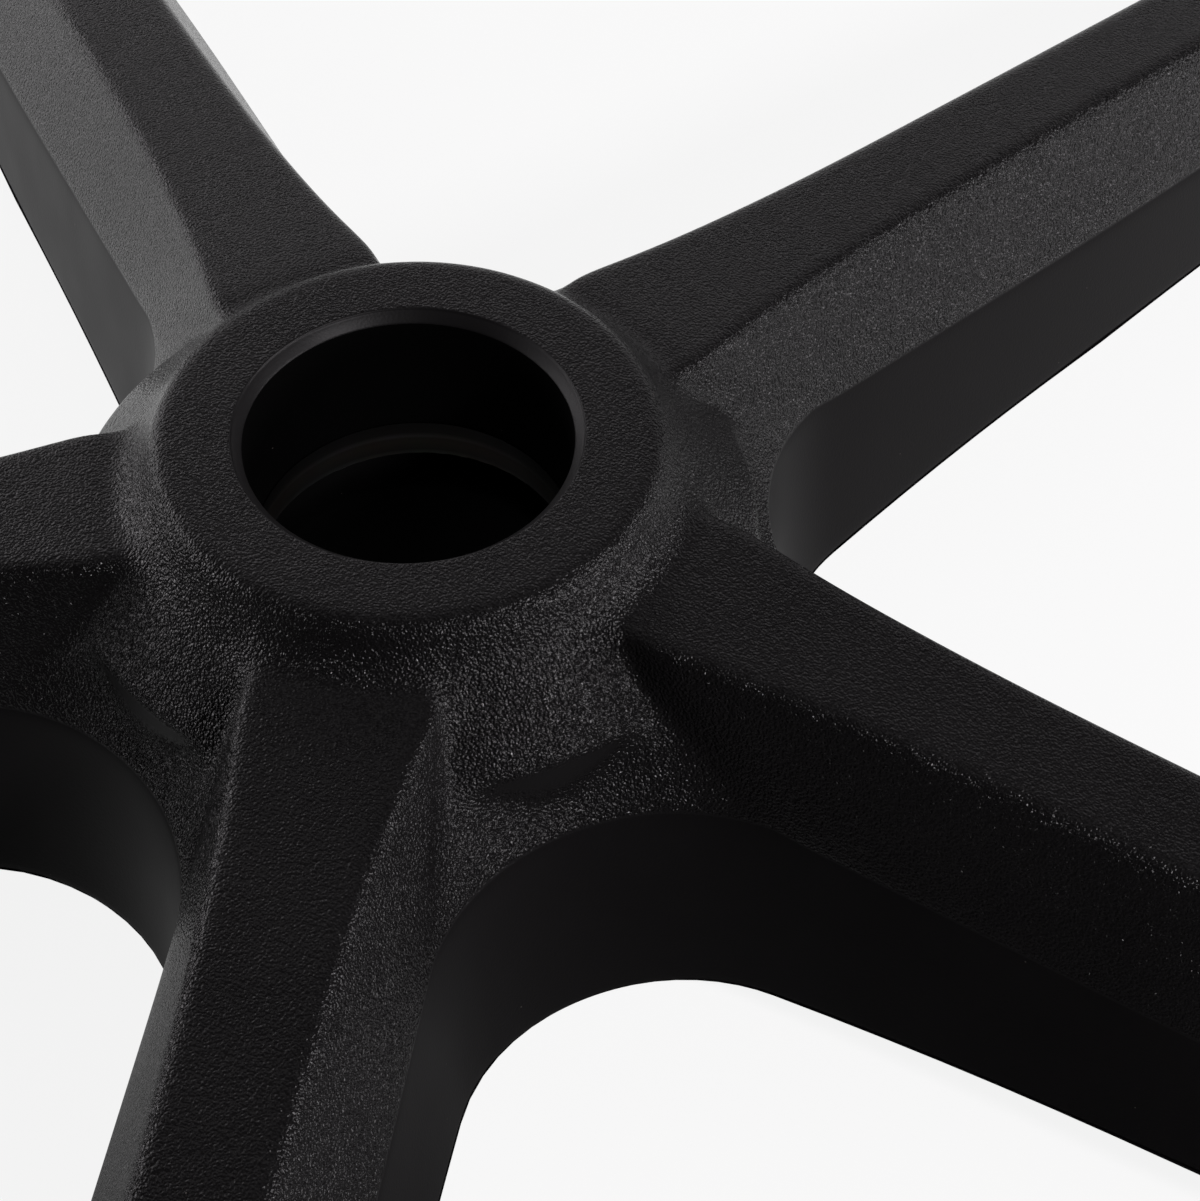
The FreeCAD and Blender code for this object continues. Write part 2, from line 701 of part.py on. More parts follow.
for thing in document.Objects:
    if "Invalid" in thing.State or "Error" in thing.State:
        raise RuntimeError(thing.Name + " failed to build")

os.makedirs("parts", exist_ok=True)
for node in (star_base, hub_ring):
    shape = node.Shape
    if shape.isNull() or not shape.isValid():
        raise RuntimeError(node.Label + " has no valid shape")
    print(node.Label, len(shape.Solids), "solid", round(shape.Volume), "mm3")
    shape.exportStep("parts/" + node.Label + ".step")
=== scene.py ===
import math

import bpy
from mathutils import Matrix, Vector


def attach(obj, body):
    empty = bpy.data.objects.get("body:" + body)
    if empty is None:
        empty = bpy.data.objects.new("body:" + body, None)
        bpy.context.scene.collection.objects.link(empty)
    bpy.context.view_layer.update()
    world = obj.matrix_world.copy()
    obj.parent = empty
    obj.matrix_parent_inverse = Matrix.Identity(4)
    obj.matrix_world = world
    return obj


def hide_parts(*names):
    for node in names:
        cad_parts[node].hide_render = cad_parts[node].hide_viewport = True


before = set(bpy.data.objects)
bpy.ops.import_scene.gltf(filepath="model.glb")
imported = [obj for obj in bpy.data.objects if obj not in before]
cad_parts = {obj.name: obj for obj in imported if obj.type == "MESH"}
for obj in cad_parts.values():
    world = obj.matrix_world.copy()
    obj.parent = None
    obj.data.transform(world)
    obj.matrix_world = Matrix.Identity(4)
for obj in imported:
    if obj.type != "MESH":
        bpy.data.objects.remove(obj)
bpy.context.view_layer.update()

bpy.ops.object.select_all(action="DESELECT")

# Star base, outer skin. The real base is one black moulding in glass-filled nylon: a
# hub with a bell round it and five tapering arms, soft at every edge so that it leaves
# the mould. Each tenth of the star is four nets of quads, mirrored and turned.

# Sizes are in millimetres. An arm lies along X and the middle of a gap is GAP away from it.
MM = 0.001
ARM_COUNT = 5
ARM_STEP = math.radians(360 / ARM_COUNT)
GAP = ARM_STEP / 2
HUB_HEIGHT = 76.0
BORE_RADIUS = 25.2
RING_DROP = 24.0
LIP_RADIUS = 53.8
LIP_DROP = 18.6

# Outline of the side walls, which lean in by the draft as they rise.
SIDE_HALF = 23.6
CORNER_RADIUS = 32.0
CORNER_REACH = (CORNER_RADIUS + SIDE_HALF) / math.sin(GAP)
STRAIGHT_REACH = 150.0
NARROWING = 0.0267
SOCKET_REACH = 300.0
TIP_RADIUS = 19.6
DRAFT = math.tan(math.radians(6.3))

# Half width and height of the arm's flat top, and height of the edge between its
# sloping face and its side wall, at distances from the hub's axis.
ARM_TOP = (
    (30.0, 14.8, 69.8),
    (46.0, 14.2, 68.15),
    (53.0, 13.3, 67.4),
    (60.0, 12.2, 66.7),
    (72.0, 10.9, 65.4),
    (95.0, 9.4, 63.0),
    (150.0, 8.6, 57.6),
    (210.0, 8.4, 51.0),
    (270.0, 8.0, 43.6),
    (330.0, 7.6, 35.0),
)
SHOULDER = (
    (60.0, 45.0),
    (95.0, 42.0),
    (150.0, 37.4),
    (210.0, 32.4),
    (270.0, 27.6),
    (330.0, 22.6),
)

# The arm's foot is an arch of two arcs that meet at its peak.
FOOT_PEAK_REACH = 135.0
FOOT_PEAK = 11.0
FOOT_INNER_RADIUS = 521.0
FOOT_OUTER_RADIUS = 2005.0
FOOT_LEAST = 2.0


def between(table, reach, column=1):
    for low, high in zip(table, table[1:]):
        if reach <= high[0]:
            break
    share = (reach - low[0]) / (high[0] - low[0])
    return low[column] + share * (high[column] - low[column])


def foot_height(reach):
    away = reach - FOOT_PEAK_REACH
    radius = FOOT_INNER_RADIUS if away < 0 else FOOT_OUTER_RADIUS
    return max(FOOT_LEAST, FOOT_PEAK - radius + math.sqrt(radius**2 - away**2))


def around(radius, angle, height):
    return Vector((radius * math.cos(angle), radius * math.sin(angle), height))


def corner_wall(turn, height):
    """On the rounded wall between two arms: turn is 0 in the middle, 54 degrees at the arm."""
    radius = CORNER_RADIUS + DRAFT * height
    angle = math.pi + GAP + math.radians(turn)
    return around(CORNER_REACH, GAP, height) + around(radius, angle, 0)


def side_wall(reach, height):
    half = SIDE_HALF - DRAFT * height - NARROWING * max(0, reach - STRAIGHT_REACH)
    return Vector((reach, half, height))


def tip_wall(angle, height):
    return Vector((SOCKET_REACH, 0, 0)) + around(TIP_RADIUS - DRAFT * height, angle, height)


# Rings of the hub: radius, then drop below the collar's face over an arm and in a gap.
# The first few are the bore's, down to the steel ring.
HUB_RINGS = (
    (BORE_RADIUS, RING_DROP, RING_DROP),
    (BORE_RADIUS, 9.0, 9.0),
    (BORE_RADIUS, 2.5, 2.5),
    (BORE_RADIUS, 1.9, 1.9),
    (25.45, 1.6, 1.6),
    (26.4, 0.6, 0.6),
    (26.72, 0.4, 0.4),
    (26.82, 0.04, 0.04),
    (27.1, 0.0, 0.0),
    (31.0, 0.0, 0.0),
    (35.6, 0.0, 0.0),
    (37.0, 0.12, 0.12),
    (38.0, 0.5, 0.5),
    (38.9, 1.25, 1.25),
    (39.6, 2.3, 2.3),
    (40.2, 3.5, 3.6),
    (41.0, 4.7, 5.1),
    (42.4, 6.3, 7.2),
    (45.2, 7.8, 10.3),
)
BORE_ROWS = 3
# Angles of the hub's spokes: the first four end on the arm's flat top, the rest on the bell.
SPOKES = [math.radians(angle) for angle in (0, 7, 12.7, 18, 24.0, 28.2, 32.2, 36)]
TABLE_SPOKES = 3
BELL_SPOKES = len(SPOKES) - 1 - TABLE_SPOKES

# Radii of the bell from the last ring to the lip, and the points where it meets the arm.
BELL_RADII = (45.2, 47.8, 50.4, 52.6, LIP_RADIUS)
VALLEY_HALVES = (14.0, 15.2, 16.5, 17.5, 18.1)
VALLEY_TOP_DROP = 8.2
# The bell is a plain cone from this radius and drop to the lip.
CONE_RADIUS = 39.5
CONE_DROP = 4.8

# Turns of the wall's columns from the middle of the gap towards the arm, in degrees. The
# first few lie under the lip, and the others run down from the valley beside the bell.
WEB_TURNS = (0, 7, 14.5, 22, 29.5, 34, 39, 44, 49)
WEB_SHOULDER = 44.8
VALLEY_SHOULDER = 44.6
LIP_SWELL = 0.2
WEB_SLOPE = math.tan(math.radians(43))

# Rows along an arm: distance of the ridge, then of the wall's edge below it.
ARM_ROWS = (
    (47.6, 77.0),
    (52.5, 82.0),
    (60.0, 88.0),
    (70.0, 96.0),
    (84.0, 106.0),
    (103.0, 120.0),
    (126.0, 138.0),
    (153.0, 160.0),
    (182.0, 186.0),
    (212.0, 214.0),
    (242.0, 243.0),
    (270.0, 270.0),
    (288.0, 288.0),
    (299.0, 300.0),
)
TIP_ANGLES = (68, 46, 30, 15, 0)
TIP_CENTRE = 299.0
TIP_TOP = 8.0
WEB_COLUMNS = len(WEB_TURNS)
TIP_START = WEB_COLUMNS + len(ARM_ROWS)


def bell_height(radius):
    run, fall = LIP_RADIUS - CONE_RADIUS, LIP_DROP - CONE_DROP
    return HUB_HEIGHT - CONE_DROP - (radius - CONE_RADIUS) * fall / run


def ridge(reach):
    return Vector((reach, between(ARM_TOP, reach), between(ARM_TOP, reach, 2)))


def tip_ridge(angle):
    """The arm's flat top ends in a round nose."""
    reach = TIP_CENTRE + TIP_TOP * math.cos(angle)
    return Vector((reach, TIP_TOP * math.sin(angle), between(ARM_TOP, reach, 2)))


def valley(step):
    half = VALLEY_HALVES[step]
    reach = math.sqrt(BELL_RADII[step] ** 2 - half**2)
    height = HUB_HEIGHT - VALLEY_TOP_DROP if step == 0 else bell_height(BELL_RADII[step])
    return Vector((reach, half, height))


def side_columns():
    """Top edge, hollow and shoulder of the strip that runs from the gap along the arm to its tip."""
    columns = []
    for spoke, turn in zip(reversed(SPOKES[-BELL_SPOKES:]), WEB_TURNS):
        lip = around(LIP_RADIUS, spoke, HUB_HEIGHT - LIP_DROP)
        shoulder = corner_wall(turn, WEB_SHOULDER)
        rise = (shoulder.xy.length - LIP_RADIUS) / WEB_SLOPE
        columns.append((lip, around(LIP_RADIUS + LIP_SWELL, spoke, WEB_SHOULDER + rise), shoulder))
    for step, turn in zip(reversed(range(len(BELL_RADII))), WEB_TURNS[BELL_SPOKES:]):
        columns.append((valley(step), None, corner_wall(turn, VALLEY_SHOULDER)))
    for top_reach, edge_reach in ARM_ROWS:
        shoulder = side_wall(edge_reach, between(SHOULDER, edge_reach))
        columns.append((ridge(top_reach), None, shoulder))
    for degrees in TIP_ANGLES:
        angle = math.radians(degrees)
        height = between(SHOULDER, SOCKET_REACH + TIP_RADIUS * math.cos(angle))
        columns.append((tip_ridge(angle), None, tip_wall(angle, height)))
    return columns


COLUMNS = side_columns()

# How near the rows beside an edge lie to it: the nearer they are, the sharper the edge.
LIP_STEP = 1.9
VALLEY_STEP = 5.5
RIDGE_STEP = 3.5
SHOULDER_STEP = 3.0
FOOT_STEP = 1.3
HALF_WAY = 0.5
SHOULDER_SHARE = 0.3
# Share of the way from the top edge to the shoulder at which the sloping face is held.
HOLLOW_SHARE = 0.42
# The foot turns inwards by this much, a little lower than the wall's end.
FOOT_TURN = 2.0
FOOT_SINK = 0.05
# The first row of faces that belongs to the drawn wall.
WALL_ROW = 5


def wall_at(column, height):
    """The wall below a column's shoulder, at another height."""
    if column < WEB_COLUMNS:
        return corner_wall(WEB_TURNS[column], height)
    if column < TIP_START:
        return side_wall(COLUMNS[column][2].x, height)
    return tip_wall(math.radians(TIP_ANGLES[column - TIP_START]), height)


def side_strip(column):
    """A column's points from its top edge over the shoulder and down the wall to the foot."""
    top, hollow, shoulder = COLUMNS[column]
    if hollow is None:
        hollow = top.lerp(shoulder, HOLLOW_SHARE)
    step = LIP_STEP if column < BELL_SPOKES else VALLEY_STEP if column < WEB_COLUMNS else RIDGE_STEP
    below_top = top.lerp(hollow, min(HALF_WAY, step / (hollow - top).length))
    near = min(SHOULDER_SHARE, SHOULDER_STEP / (hollow - shoulder).length)
    slope = [hollow, hollow.lerp(shoulder, HALF_WAY), shoulder.lerp(hollow, near), shoulder]
    foot = foot_height(shoulder.xy.length)
    heights = (shoulder.z - SHOULDER_STEP, (shoulder.z + foot) / 2, foot + FOOT_STEP, foot)
    wall = [wall_at(column, height) for height in heights]
    if column < WEB_COLUMNS:
        inward = (wall[-1] - around(CORNER_REACH, GAP, foot)).normalized()
    elif column < TIP_START:
        inward = Vector((0, -1, 0))
    else:
        inward = (Vector((SOCKET_REACH, 0, foot)) - wall[-1]).normalized()
    rim = wall[-1] + inward * FOOT_TURN - Vector((0, 0, FOOT_SINK))
    return [top, below_top, *slope, *wall, rim]


STRIPS = [side_strip(column) for column in range(len(COLUMNS))]


def side_point(column, row):
    return STRIPS[column][row]


# The arm's flat top is held by one more line on each side, at this share of its half width.
TABLE_SHARE = 0.42
# Its rows run from the last ring of the hub to the nose, and the last row closes the nose.
TABLE_ROWS = len(ARM_ROWS) + 2


def table_point(column, row):
    """The arm's flat top: four columns from its middle to the ridge."""
    if row == TABLE_ROWS:
        return COLUMNS[-1 - column][0]
    corner = COLUMNS[WEB_COLUMNS - 1 + row][0]
    half = corner.y
    across = (0.0, TABLE_SHARE * half, half - RIDGE_STEP, half)[column]
    reach = math.sqrt(HUB_RINGS[-1][0] ** 2 - across**2) if row == 0 else corner.x
    return Vector((reach, across, corner.z))


def hub_point(spoke, ring):
    radius, over_arm, in_gap = HUB_RINGS[ring]
    if ring == len(HUB_RINGS) - 1 and spoke <= TABLE_SPOKES:
        return table_point(spoke, 0)
    drop = over_arm if spoke <= TABLE_SPOKES else in_gap
    return around(radius, SPOKES[spoke], HUB_HEIGHT - drop)


def bell_point(spoke, row):
    if spoke == 0:
        return valley(row)
    angle = SPOKES[TABLE_SPOKES + spoke]
    return around(BELL_RADII[row], angle, bell_height(BELL_RADII[row]))


# The mould leaves three finishes: grained, satin on the drawn walls and plain in the bore, where a
# darker black is painted shade of the deep bore.
GRAINED, SATIN, PLAIN_SHADED = range(3)
finishes = [bpy.data.materials.new(name) for name in ("grained nylon", "satin nylon", "plain nylon with painted shade")]


def hub_finish(row):
    return PLAIN_SHADED if row < BORE_ROWS else GRAINED


def side_finish(row):
    return GRAINED if row < WALL_ROW else SATIN


def net(columns, rows, place, finish=None):
    """A grid of quads whose crossings are set one by one, in millimetres."""
    bpy.ops.mesh.primitive_grid_add(x_subdivisions=columns, y_subdivisions=rows, size=1)
    patch = bpy.context.object
    for material in finishes:
        patch.data.materials.append(material)
    if finish:
        for face in patch.data.polygons:
            face.material_index = finish(int((face.center.y + 0.5) * rows))
    for vertex in patch.data.vertices:
        column = round((vertex.co.x + 0.5) * columns)
        row = round((vertex.co.y + 0.5) * rows)
        vertex.co = place(column, row) * MM
    return patch


patches = [
    net(len(SPOKES) - 1, len(HUB_RINGS) - 1, hub_point, hub_finish),
    net(TABLE_SPOKES, TABLE_ROWS, table_point),
    net(BELL_SPOKES, len(BELL_RADII) - 1, bell_point),
    net(len(STRIPS) - 1, len(STRIPS[0]) - 1, side_point, side_finish),
]
for patch in patches:
    patch.select_set(True)
bpy.context.view_layer.objects.active = patches[0]
bpy.ops.object.join()
skin = bpy.context.object
skin.name = "star_skin"

MERGE = 0.05 * MM
mirror = skin.modifiers.new("other half", "MIRROR")
mirror.use_axis = (False, True, False)
mirror.merge_threshold = MERGE
bpy.ops.object.modifier_apply(modifier=mirror.name)

arms = [skin]
for count in range(1, ARM_COUNT):
    bpy.ops.object.select_all(action="DESELECT")
    skin.select_set(True)
    bpy.context.view_layer.objects.active = skin
    bpy.ops.object.duplicate()
    copy = bpy.context.object
    copy.data.transform(Matrix.Rotation(ARM_STEP * count, 4, "Z"))
    arms.append(copy)
for arm in arms:
    arm.select_set(True)
bpy.context.view_layer.objects.active = skin
bpy.ops.object.join()
bpy.ops.object.mode_set(mode="EDIT")
bpy.ops.mesh.select_all(action="SELECT")
bpy.ops.mesh.remove_doubles(threshold=MERGE)
bpy.ops.mesh.normals_make_consistent(inside=False)
bpy.ops.object.mode_set(mode="OBJECT")
finer = skin.modifiers.new("finer", "SUBSURF")
finer.levels = 2
finer.render_levels = 2
bpy.ops.object.modifier_apply(modifier=finer.name)
bpy.ops.object.shade_smooth()

# Star base, underside. Seen from below the moulding is open: ribs cross between the
# side walls, a sleeve holds the lift and a boss at each tip holds a caster. Faces that
# see the sky belong to the outer skin and are taken off this copy of the solid.

SOLID_MERGE = 0.002 * MM
CLEAR_OF_FACE = 0.4 * MM
BORE_REACH = (BORE_RADIUS + 0.3) * MM
SKIN_BORE_END = (HUB_HEIGHT - RING_DROP + 0.1) * MM
SHARP_ANGLE = math.radians(25)
SKYWARD = Vector((0, 0, 1))
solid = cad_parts["star_base"]
bpy.ops.object.select_all(action="DESELECT")
solid.select_set(True)
bpy.context.view_layer.objects.active = solid
bpy.ops.object.duplicate()
under = bpy.context.object
under.parent = None
under.name = "star_underside"
for key in list(under.keys()):
    del under[key]
bpy.ops.object.mode_set(mode="EDIT")
bpy.ops.mesh.select_all(action="SELECT")
bpy.ops.mesh.remove_doubles(threshold=SOLID_MERGE)
bpy.ops.mesh.select_all(action="DESELECT")
bpy.ops.object.mode_set(mode="OBJECT")
for face in under.data.polygons:
    covered = under.ray_cast(face.center + face.normal * CLEAR_OF_FACE, SKYWARD)[0]
    below_ring = face.center.xy.length < BORE_REACH and face.center.z <= SKIN_BORE_END
    face.select = not covered and not below_ring
bpy.ops.object.mode_set(mode="EDIT")
bpy.ops.mesh.delete(type="FACE")
bpy.ops.object.mode_set(mode="OBJECT")
bpy.ops.object.shade_smooth_by_angle(angle=SHARP_ANGLE)

# Finish of the moulding. The nylon is black all through. The mould's roof side was spark
# eroded, which leaves a fine leathery grain, while the drawn side walls came out satin.

CHAMFER_EDGE = 26.9
CRESCENT_TURN = math.radians(12)
CRESCENT_FADE = math.radians(5)
# The upward part of a face's normal, at which a wall ends and at which a level face begins.
WALL_LEAN, WALL_FADE = 0.05, 0.07
LEVEL_LEAN, LEVEL_FADE = 0.78, 0.14
LEVEL_LOSS = 0.3


def fade(value, start, width):
    """Rises from 0 at the start to 1 over the width."""
    return min(1, max(0, (value - start) / width))


def grain_share(place, normal):
    """How coarse the grain is: full on slopes, less on flats, none on plain walls and crescents."""
    if place.xy.length < CHAMFER_EDGE * MM:
        return 0
    bearing = abs(math.atan2(place.y, place.x) % ARM_STEP - GAP)
    slope = max(fade(normal.z, WALL_LEAN, WALL_FADE), fade(bearing, CRESCENT_TURN, CRESCENT_FADE))
    return slope * (1 - LEVEL_LOSS * fade(normal.z, LEVEL_LEAN, LEVEL_FADE))


# The share is kept on each point. It stays 0 on the walls and all over the underside.
satin = [face for face in skin.data.polygons if face.material_index == SATIN]
plain = {corner for face in satin for corner in face.vertices}
grain = skin.data.attributes.new("grain", "FLOAT", "POINT")
for vertex in skin.data.vertices:
    if vertex.index not in plain:
        grain.data[vertex.index].value = grain_share(vertex.co, vertex.normal)
under.data.attributes.new("grain", "FLOAT", "POINT")


def add_node(tree, kind, place, **settings):
    node = tree.nodes.new(kind)
    node.location = place
    for name, value in settings.items():
        if name in node.inputs:
            node.inputs[name].default_value = value
        else:
            setattr(node, name, value)
    return node


def add_math(tree, place, operation, *sources):
    """A sum of sockets and plain numbers."""
    node = add_node(tree, "ShaderNodeMath", place, operation=operation)
    for entry, source in zip(node.inputs, sources):
        if isinstance(source, bpy.types.NodeSocket):
            tree.links.new(source, entry)
        else:
            entry.default_value = source
    return node.outputs[0]


def add_range(tree, place, source, low, high, start=0.0, end=1.0):
    """Goes from low to high while the source goes from start to end."""
    node = add_node(tree, "ShaderNodeMapRange", place)
    node.inputs["From Min"].default_value = start
    node.inputs["From Max"].default_value = end
    node.inputs["To Min"].default_value = low
    node.inputs["To Max"].default_value = high
    tree.links.new(source, node.inputs["Value"])
    return node.outputs[0]


# Texture scales are in cells per metre, so the grain's pebbles are about half a millimetre.
PEBBLE_SCALE = 1900
CREASE_SCALE = 2900
GRAIN_DEPTH = 0.19 * MM
PLAIN_GRAIN = 0.06
CLOUD_SCALE = 60
WEAR = 0.26
DUST_SCALE = 160
DUST_SHARE = 0.019
DUST = (0.085, 0.078, 0.072)


def dress_nylon(material, level, polish, colours):
    """Black nylon: a fine leathery grain, cloudy polish and a slightly warm black."""
    material.use_nodes = True
    tree = material.node_tree
    shader = tree.nodes["Principled BSDF"]
    shader.inputs["Specular IOR Level"].default_value = level
    place = add_node(tree, "ShaderNodeTexCoord", (-1500, 0)).outputs["Object"]
    mask = add_node(tree, "ShaderNodeAttribute", (-1500, -600), attribute_name="grain").outputs["Fac"]

    pebbles = add_node(tree, "ShaderNodeTexVoronoi", (-1200, 200), Scale=PEBBLE_SCALE)
    creases = add_node(tree, "ShaderNodeTexNoise", (-1200, -100), Scale=CREASE_SCALE, Detail=0)
    tree.links.new(place, pebbles.inputs["Vector"])
    tree.links.new(place, creases.inputs["Vector"])
    height = add_math(tree, (-950, 100), "SUBTRACT", creases.outputs["Fac"], pebbles.outputs["Distance"])
    bump = add_node(tree, "ShaderNodeBump", (-600, -100), Distance=GRAIN_DEPTH)
    tree.links.new(height, bump.inputs["Height"])
    tree.links.new(add_range(tree, (-950, -300), mask, PLAIN_GRAIN, 1.0), bump.inputs["Strength"])
    tree.links.new(bump.outputs[0], shader.inputs["Normal"])

    # The raised grain is polished by wear, so it glints more than the plain places.
    clouds = add_node(tree, "ShaderNodeTexNoise", (-1200, -800), Scale=CLOUD_SCALE, Detail=2)
    tree.links.new(place, clouds.inputs["Vector"])
    cloud = clouds.outputs["Fac"]
    dull = add_range(tree, (-950, -800), cloud, *polish)
    worn = add_math(tree, (-600, -800), "MULTIPLY_ADD", mask, -WEAR, dull)
    tree.links.new(worn, shader.inputs["Roughness"])
    tint = add_node(tree, "ShaderNodeMix", (-600, 300), data_type="RGBA")
    tint.inputs["A"].default_value = (*colours[0], 1)
    tint.inputs["B"].default_value = (*colours[1], 1)
    tree.links.new(cloud, tint.inputs["Factor"])

    # A few specks of pale dust lie about, each up to a quarter of a millimetre across.
    cells = add_node(tree, "ShaderNodeTexVoronoi", (-1200, 600), Scale=DUST_SCALE)
    tree.links.new(place, cells.inputs["Vector"])
    speck = add_math(tree, (-600, 600), "LESS_THAN", cells.outputs["Distance"], DUST_SHARE)
    dusted = add_node(tree, "ShaderNodeMix", (-300, 400), data_type="RGBA")
    dusted.inputs["B"].default_value = (*DUST, 1)
    tree.links.new(speck, dusted.inputs["Factor"])
    tree.links.new(tint.outputs["Result"], dusted.inputs["A"])
    tree.links.new(dusted.outputs["Result"], shader.inputs["Base Color"])


BLACK = ((0.0042, 0.0039, 0.0041), (0.0064, 0.0060, 0.0063))
# The bore's black is darker still: painted shade inside the deep bore.
BORE_PAINTED_SHADE = ((0.0012, 0.0012, 0.0012), (0.0018, 0.0018, 0.0018))
dress_nylon(finishes[GRAINED], 0.14, (0.42, 0.50), BLACK)
dress_nylon(finishes[SATIN], 0.05, (0.36, 0.46), BLACK)
dress_nylon(finishes[PLAIN_SHADED], 0.01, (0.55, 0.65), BORE_PAINTED_SHADE)

BORE_SKIN = (BORE_RADIUS + 0.1) * MM
under.data.materials.clear()
for material in finishes:
    under.data.materials.append(material)
for face in under.data.polygons:
    face.material_index = PLAIN_SHADED if face.center.xy.length < BORE_SKIN else SATIN
for piece in (skin, under):
    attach(piece, "root")
    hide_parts("star_base")

# Insert ring. A plain turned steel ring, moulded into the bore well below the collar,
# It has gone dull and a little brown, and two lines of painted highlight run round it.

RING_HEIGHT = 7.0
# Share of the ring's height, then colour: two lines of painted highlight on a brown film.
RING_HIGHLIGHT_BANDS = (
    (0.01, (0.034, 0.032, 0.030)),
    (0.14, (0.009, 0.007, 0.006)),
    (0.38, (0.021, 0.016, 0.012)),
    (0.50, (0.020, 0.016, 0.013)),
    (0.57, (0.038, 0.036, 0.034)),
    (0.70, (0.008, 0.007, 0.006)),
    (0.99, (0.005, 0.004, 0.004)),
)
STAIN_SCALE = 140
STAIN_STRENGTH = 0.6
RING_POLISH = (0.38, 0.60)
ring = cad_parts["hub_ring"]
steel = bpy.data.materials.new("dull steel with painted highlights")
steel.use_nodes = True
tree = steel.node_tree
shader = tree.nodes["Principled BSDF"]
shader.inputs["Metallic"].default_value = 1.0
place = add_node(tree, "ShaderNodeTexCoord", (-1200, 0)).outputs["Object"]
stain = add_node(tree, "ShaderNodeTexNoise", (-900, 0), Scale=STAIN_SCALE, Detail=5)
tree.links.new(place, stain.inputs["Vector"])
heights = add_node(tree, "ShaderNodeSeparateXYZ", (-1000, 300))
tree.links.new(place, heights.inputs[0])
ring_top = (HUB_HEIGHT - RING_DROP) * MM
ring_foot = (HUB_HEIGHT - RING_DROP - RING_HEIGHT) * MM
risen = add_range(tree, (-800, 300), heights.outputs["Z"], 0.0, 1.0, ring_foot, ring_top)
# The colour bands paint the ring's highlight lines by height.
highlight_bands = add_node(tree, "ShaderNodeValToRGB", (-600, 300))
ramp = highlight_bands.color_ramp
for share, colour in RING_HIGHLIGHT_BANDS:
    stop = ramp.elements.new(share)
    stop.color = (*colour, 1)
ramp.elements.remove(ramp.elements[0])
ramp.elements.remove(ramp.elements[-1])
tree.links.new(risen, highlight_bands.inputs["Fac"])
tint = add_node(tree, "ShaderNodeMix", (-300, 200), data_type="RGBA", blend_type="MULTIPLY")
tint.inputs["Factor"].default_value = STAIN_STRENGTH
tree.links.new(highlight_bands.outputs["Color"], tint.inputs["A"])
tree.links.new(stain.outputs["Color"], tint.inputs["B"])
tree.links.new(tint.outputs["Result"], shader.inputs["Base Color"])
rough = add_range(tree, (-500, -200), stain.outputs["Fac"], *RING_POLISH)
tree.links.new(rough, shader.inputs["Roughness"])
ring.data.materials.clear()
ring.data.materials.append(steel)

# Floor. A broad white sheet, which the eye sees as plain white but for the soft shadow
# that the base throws on it. The windows stand behind it, so the glow that the black walls
# mirror of it is painted dimmer from the back to the front, as painted light of those windows.

SHEET_SIZE = 12
SHEET_DROP = 0.2
SHEET_COLOUR = (0.85, 0.85, 0.85)
# Share of the sheet that shines by itself, where an eye or a mirror sees it.
SHEET_SHINE = 0.88
REAR_TURN = math.radians(45)
FRONT_DAYLIGHT = 0.05
# Half the length, in metres, over which the daylight on the sheet fades.
DAYLIGHT_HALF = 0.10
bpy.ops.mesh.primitive_plane_add(size=SHEET_SIZE, location=(0, 0, -SHEET_DROP * MM))
floor = bpy.context.object
floor.name = "floor"
paper = bpy.data.materials.new("white sheet")
paper.use_nodes = True
tree = paper.node_tree
tree.nodes.clear()
output = add_node(tree, "ShaderNodeOutputMaterial", (600, 0))
matt = add_node(tree, "ShaderNodeBsdfDiffuse", (0, 100))
matt.inputs["Color"].default_value = (*SHEET_COLOUR, 1)
glow = add_node(tree, "ShaderNodeEmission", (0, -100))
path = add_node(tree, "ShaderNodeLightPath", (-700, 200)).outputs
looked_at = add_math(tree, (-450, 200), "MAXIMUM", path["Is Camera Ray"], path["Is Glossy Ray"])
seen = add_math(tree, (-250, 200), "MAXIMUM", looked_at, path["Is Transmission Ray"])
shine = add_math(tree, (-80, 300), "MULTIPLY", seen, SHEET_SHINE)
# Painted light: for mirrors the glow is painted bright at the back of the sheet and dim at the front.
sheet_place = add_node(tree, "ShaderNodeTexCoord", (-900, -200)).outputs["Object"]
rearward = add_node(tree, "ShaderNodeVectorMath", (-700, -200), operation="DOT_PRODUCT")
rearward.inputs[1].default_value = (-math.sin(REAR_TURN), math.cos(REAR_TURN), 0)
tree.links.new(sheet_place, rearward.inputs[0])
daylight = add_range(
    tree, (-450, -200), rearward.outputs["Value"], FRONT_DAYLIGHT, 1.0, -DAYLIGHT_HALF, DAYLIGHT_HALF
)
brightness = add_math(tree, (-200, -200), "MAXIMUM", path["Is Camera Ray"], daylight)
tree.links.new(brightness, glow.inputs["Strength"])
mixed = add_node(tree, "ShaderNodeMixShader", (300, 0))
tree.links.new(shine, mixed.inputs[0])
tree.links.new(matt.outputs[0], mixed.inputs[1])
tree.links.new(glow.outputs[0], mixed.inputs[2])
tree.links.new(mixed.outputs[0], output.inputs[0])
floor.data.materials.append(paper)

# Camera. It looks down on the hub from the photograph's side, close up, with a long lens.
# The focal length is in pixels of the picture, and COLLAR_AT is the place in the picture
# of the middle of the collar's face.

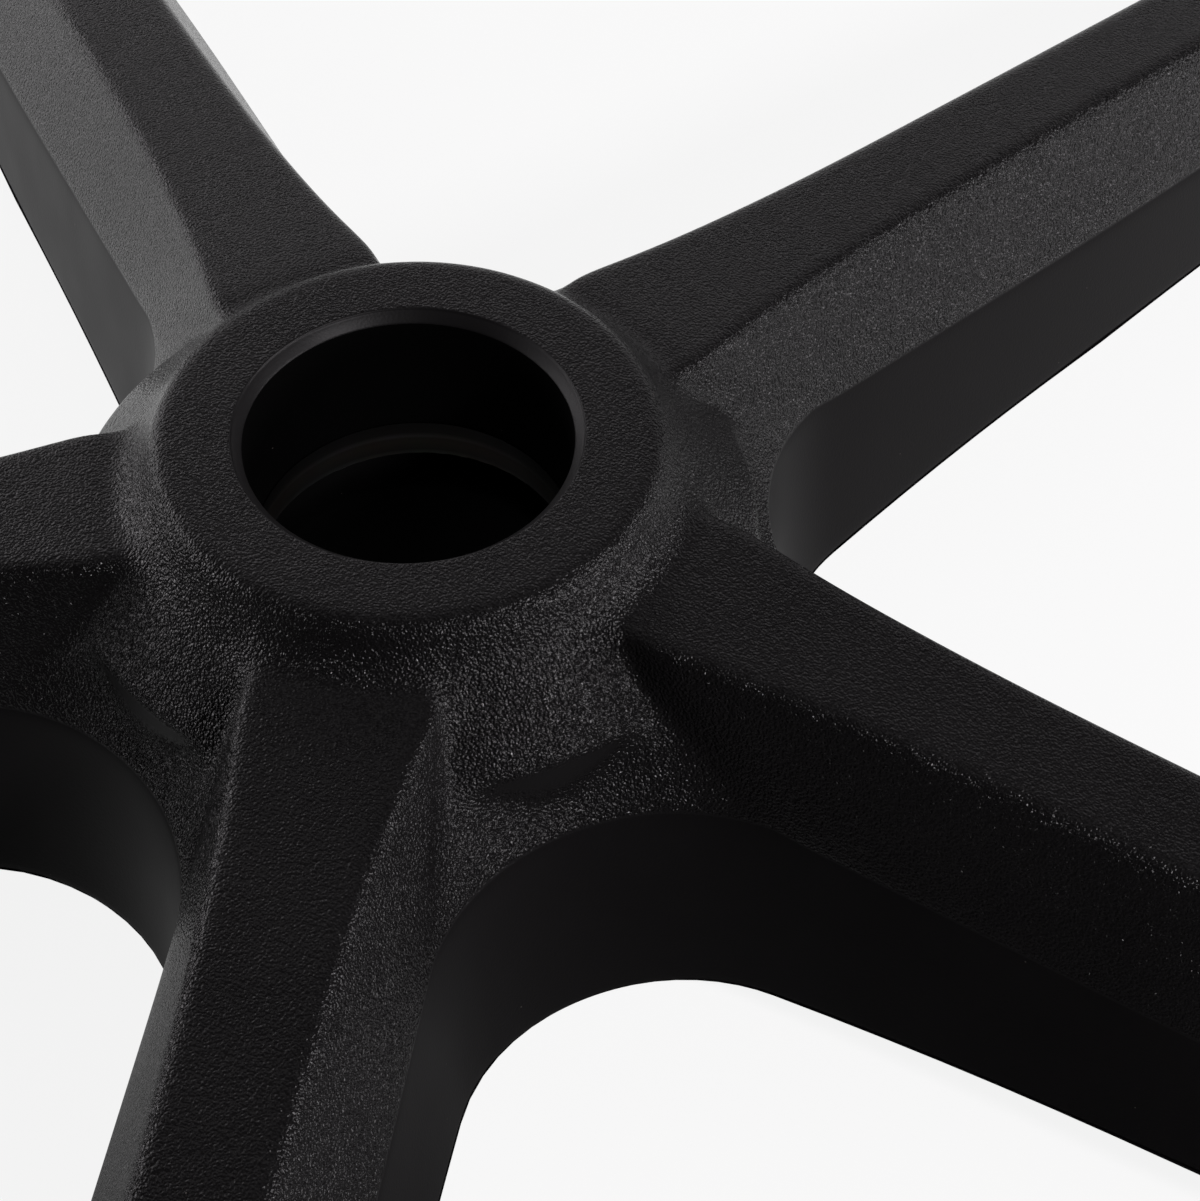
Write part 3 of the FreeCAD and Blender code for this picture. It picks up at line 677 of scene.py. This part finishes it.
PICTURE = (1200, 1201)
TURN = math.radians(27.63)
TILT = math.radians(49.18)
ROLL = math.radians(0.86)
DISTANCE = 430.6
FOCAL = 2855.5
COLLAR_AT = (408.0, 430.15)
SENSOR = 36
NEAREST = 0.01
back = Vector((math.sin(TURN) * math.cos(TILT), -math.cos(TURN) * math.cos(TILT), math.sin(TILT)))
level = Vector((math.cos(TURN), math.sin(TURN), 0))
right = Matrix.Rotation(ROLL, 3, back) @ level
above = back.cross(right)
across = (COLLAR_AT[0] - PICTURE[0] / 2) / FOCAL * DISTANCE
upward = (PICTURE[1] / 2 - COLLAR_AT[1]) / FOCAL * DISTANCE
collar_middle = Vector((0, 0, HUB_HEIGHT))
bpy.ops.object.camera_add()
camera = bpy.context.object
camera.matrix_world = Matrix.Translation(
    (collar_middle - right * across - above * upward + back * DISTANCE) * MM
) @ Matrix((right, above, back)).transposed().to_4x4()
camera.data.sensor_width = SENSOR
camera.data.lens = SENSOR * FOCAL / max(PICTURE)
camera.data.clip_start = NEAREST
bpy.context.scene.camera = camera

# Light. Soft windows stand round the back from the left to the right, under a dim ceiling.
# One small lamp at the front right makes the grain of the bell glint; the front stays dark.

LAMP_DISTANCE = 1.3
LAMP_COLOUR = (1.0, 0.96, 0.99)
ROOM_LIGHT = 0.02


def lamp(name, turn, lift, width, height, power):
    """A flat lamp that faces the hub, placed by its turn from the camera's right and its lift."""
    angle = TURN + math.radians(turn)
    tilt = math.radians(lift)
    away = Vector((math.cos(angle) * math.cos(tilt), math.sin(angle) * math.cos(tilt), math.sin(tilt)))
    bpy.ops.object.light_add(type="AREA")
    light = bpy.context.object
    light.name = name
    light.data.shape = "RECTANGLE"
    light.data.size = width
    light.data.size_y = height
    light.data.energy = power
    light.data.color = LAMP_COLOUR
    light.location = away * LAMP_DISTANCE + collar_middle * MM
    light.rotation_euler = away.to_track_quat("Z", "Y").to_euler()


lamp("low left window", 170, 8, 0.9, 0.3, 6)
lamp("left window", 168, 34, 0.6, 0.5, 1.5)
lamp("left gap", 150, 4, 0.8, 0.2, 2.5)
lamp("back left window", 128, 18, 0.7, 0.4, 2.7)
lamp("back window", 92, 18, 0.7, 0.4, 1.6)
lamp("back right window", 56, 18, 0.7, 0.4, 1.2)
lamp("ceiling", 100, 58, 1.2, 0.6, 1.9)
lamp("right window", -8, 7, 0.8, 0.3, 11)
lamp("front right glint", -43, 36, 0.20, 0.20, 11.2)

world = bpy.data.worlds.new("room")
bpy.context.scene.world = world
world.use_nodes = True
world.node_tree.nodes["Background"].inputs["Color"].default_value = (1, 1, 1, 1)
world.node_tree.nodes["Background"].inputs["Strength"].default_value = ROOM_LIGHT
bpy.context.scene.view_settings.view_transform = "Standard"
